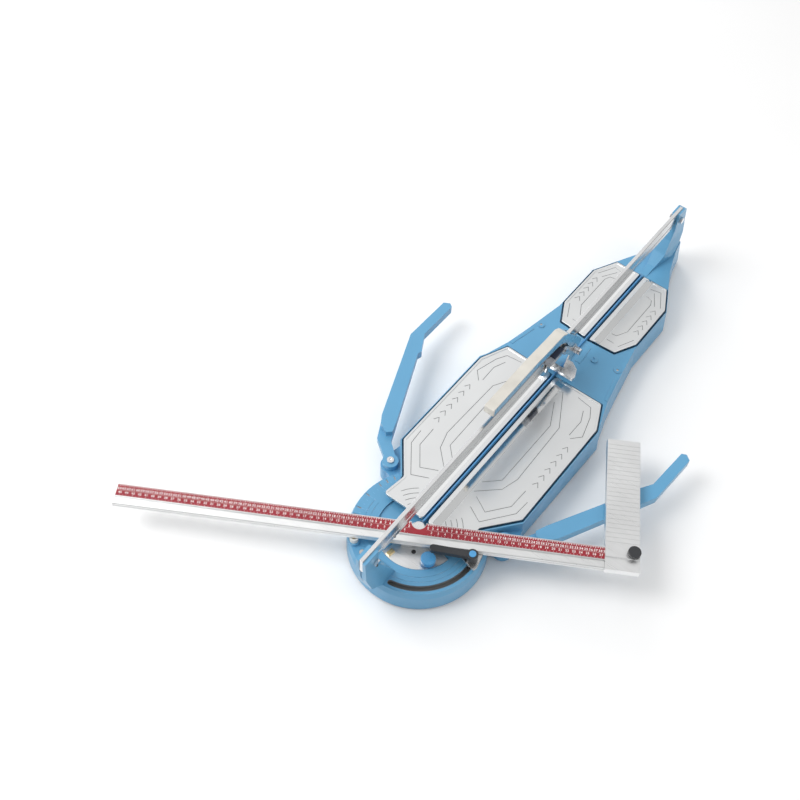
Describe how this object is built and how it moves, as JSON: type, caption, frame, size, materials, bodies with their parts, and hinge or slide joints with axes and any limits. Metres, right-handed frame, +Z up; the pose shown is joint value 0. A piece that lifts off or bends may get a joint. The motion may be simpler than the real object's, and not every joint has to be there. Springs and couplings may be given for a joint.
{
  "type": "tile cutter",
  "caption": "Manual rail tile cutter: sprung breaking plates, a pull lever with scoring wheel and breaking foot on a rail, a swivelling angle rule with sliding fence, and folding side arms.",
  "frame": {"origin": "on the rule's swivel axis at the floor plane, at the centre of the front rubber foot", "axes": "+X across the cut to the operator's right, +Y along the cut to the rear, +Z up"},
  "size_m": [0.9794, 1.461, 0.271],
  "materials": {
    "blue_casting": "satin blue paint",
    "blue_steel": "satin",
    "rib_paint": "satin",
    "plate_metal": "satin, pressed",
    "dark_housing": "satin",
    "grey_plastic": "matte",
    "blue_plastic": "gloss",
    "pale_grip": "satin",
    "black_plastic": "matte",
    "rubber": "matte",
    "rail_aluminium": "polished",
    "rule_aluminium": "satin",
    "scale_red": "satin",
    "cast_bracket": "cast",
    "steel": "brushed",
    "chrome": "polished",
    "stud_white": "satin",
    "brass": "satin"
  },
  "bodies": {
    "base": {"base_casting": "blue_casting", "base_pan": "cast_bracket", "rubber_feet": "rubber", "breaking_rib": "rib_paint", "rail": "rail_aluminium", "front_post": "blue_casting", "rear_post": "blue_casting", "rail_bolts": "chrome", "rail_stop_pin": "steel", "swivel_pin": "steel", "rule_rest_stud": "stud_white", "rest_stud_core": "brass", "deck_screws": "steel", "arm_screws": "chrome", "plate_hinge_pins": "steel", "large_springs_left": "steel", "large_springs_right": "steel", "small_springs_left": "steel", "small_springs_right": "steel"},
    "large_plate_left": {"large_plate_left": "plate_metal"},
    "large_plate_right": {"large_plate_right": "plate_metal"},
    "small_plate_left": {"small_plate_left": "plate_metal"},
    "small_plate_right": {"small_plate_right": "plate_metal"},
    "swivel": {"rule_extrusion": "rule_aluminium", "scale_strip": "scale_red", "sector_plate": "rule_aluminium", "rule_bracket": "cast_bracket", "clamp_bracket": "steel", "clamp_bolt": "steel", "sector_cap": "blue_plastic", "angle_pointer": "brass"},
    "clamp_handle": {"clamp_lever": "black_plastic", "clamp_cap": "blue_plastic"},
    "fence": {"fence_blade": "rule_aluminium", "fence_block": "rule_aluminium"},
    "fence_screw": {"fence_knob": "black_plastic"},
    "arm_left": {"side_arm_left": "blue_casting"},
    "arm_right": {"side_arm_right": "blue_casting"},
    "carriage": {"carriage_side_left": "steel", "carriage_side_right": "steel", "bearing_housing_left": "dark_housing", "bearing_housing_right": "dark_housing", "wiper_left": "grey_plastic", "wiper_right": "grey_plastic", "roller_axles": "steel", "pivot_bolt": "chrome", "rail_keeper": "black_plastic", "lever_rest": "rubber", "foot_spring_left": "chrome", "foot_spring_right": "chrome"},
    "roller_upper_front": {"roller_upper_front": "steel"},
    "roller_upper_rear": {"roller_upper_rear": "steel"},
    "roller_lower_rear": {"roller_lower_rear": "steel"},
    "lever": {"lever_channel": "blue_steel", "lever_grip": "pale_grip", "wheel_holder": "steel", "wheel_axle": "steel"},
    "wheel": {"scoring_wheel": "steel"},
    "foot": {"breaking_foot": "chrome", "foot_stop_bolts": "chrome"}
  },
  "joints": [
    {"name": "large_plate_left_tilt", "type": "hinge", "parent": "base", "child": "large_plate_left", "pos_m": [-0.15, 0.305, 0.07], "axis": [0, 1, 0], "range_deg": [0, 3], "stiffness_Nm_per_rad": 12, "springref_deg": -11.46, "deforming": ["large_springs_left"]},
    {"name": "small_plate_left_tilt", "type": "hinge", "parent": "base", "child": "small_plate_left", "pos_m": [-0.092, 0.7825, 0.07], "axis": [0, 1, 0], "range_deg": [0, 4], "stiffness_Nm_per_rad": 12, "springref_deg": -11.46, "deforming": ["small_springs_left"]},
    {"name": "large_plate_right_tilt", "type": "hinge", "parent": "base", "child": "large_plate_right", "pos_m": [0.15, 0.305, 0.07], "axis": [0, -1, 0], "range_deg": [0, 3], "stiffness_Nm_per_rad": 12, "springref_deg": -11.46, "deforming": ["large_springs_right"]},
    {"name": "small_plate_right_tilt", "type": "hinge", "parent": "base", "child": "small_plate_right", "pos_m": [0.092, 0.7825, 0.07], "axis": [0, -1, 0], "range_deg": [0, 4], "stiffness_Nm_per_rad": 12, "springref_deg": -11.46, "deforming": ["small_springs_right"]},
    {"name": "rule_swivel", "type": "hinge", "parent": "base", "child": "swivel", "pos_m": [0, 0, 0.083], "axis": [0, 0, 1], "range_deg": [-75.8, 14.2]},
    {"name": "clamp_turn", "type": "hinge", "parent": "swivel", "child": "clamp_handle", "pos_m": [0.13285, 0.00701, 0.092], "axis": [0, 0, 1], "range_deg": [0, 60]},
    {"name": "fence_slide", "type": "slide", "parent": "swivel", "child": "fence", "axis": [0.859, 0.512, 0], "range_m": [-0.24, 0]},
    {"name": "fence_knob_turn", "type": "hinge", "parent": "fence", "child": "fence_screw", "pos_m": [0.39096, 0.21909, 0.106], "axis": [0, 0, 1], "range_deg": [-180, 180]},
    {"name": "arm_left_swing", "type": "hinge", "parent": "base", "child": "arm_left", "pos_m": [-0.155, 0.098, 0.055], "axis": [0, 0, 1], "range_deg": [-18, 45]},
    {"name": "arm_right_swing", "type": "hinge", "parent": "base", "child": "arm_right", "pos_m": [0.155, 0.098, 0.055], "axis": [0, 0, -1], "range_deg": [-22, 42]},
    {"name": "carriage_slide", "type": "slide", "parent": "base", "child": "carriage", "axis": [0, 1, 0], "range_m": [-0.52, 0.32]},
    {"name": "roller_upper_front_turn", "type": "hinge", "parent": "carriage", "child": "roller_upper_front", "pos_m": [0, 0.462, 0.2271], "axis": [-1, 0, 0], "range_deg": [-3400, 2100]},
    {"name": "roller_upper_rear_turn", "type": "hinge", "parent": "carriage", "child": "roller_upper_rear", "pos_m": [0, 0.5, 0.2271], "axis": [-1, 0, 0], "range_deg": [-3400, 2100]},
    {"name": "roller_lower_rear_turn", "type": "hinge", "parent": "carriage", "child": "roller_lower_rear", "pos_m": [0, 0.538, 0.1629], "axis": [1, 0, 0], "range_deg": [-3400, 2100]},
    {"name": "lever_lift", "type": "hinge", "parent": "carriage", "child": "lever", "pos_m": [0, 0.556, 0.152], "axis": [-1, 0, 0], "range_deg": [0, 55]},
    {"name": "wheel_turn", "type": "hinge", "parent": "lever", "child": "wheel", "pos_m": [0, 0.58, 0.112], "axis": [1, 0, 0], "continuous": true},
    {"name": "foot_tilt", "type": "hinge", "parent": "carriage", "child": "foot", "pos_m": [0, 0.556, 0.152], "axis": [-1, 0, 0], "range_deg": [-5, 5], "stiffness_Nm_per_rad": 6}
  ],
  "couplings": [
    {"joint": "roller_upper_front_turn", "follows": "carriage_slide", "rad_per_m": 111.11},
    {"joint": "roller_upper_rear_turn", "follows": "carriage_slide", "rad_per_m": 111.11},
    {"joint": "roller_lower_rear_turn", "follows": "carriage_slide", "rad_per_m": 111.11}
  ]
}
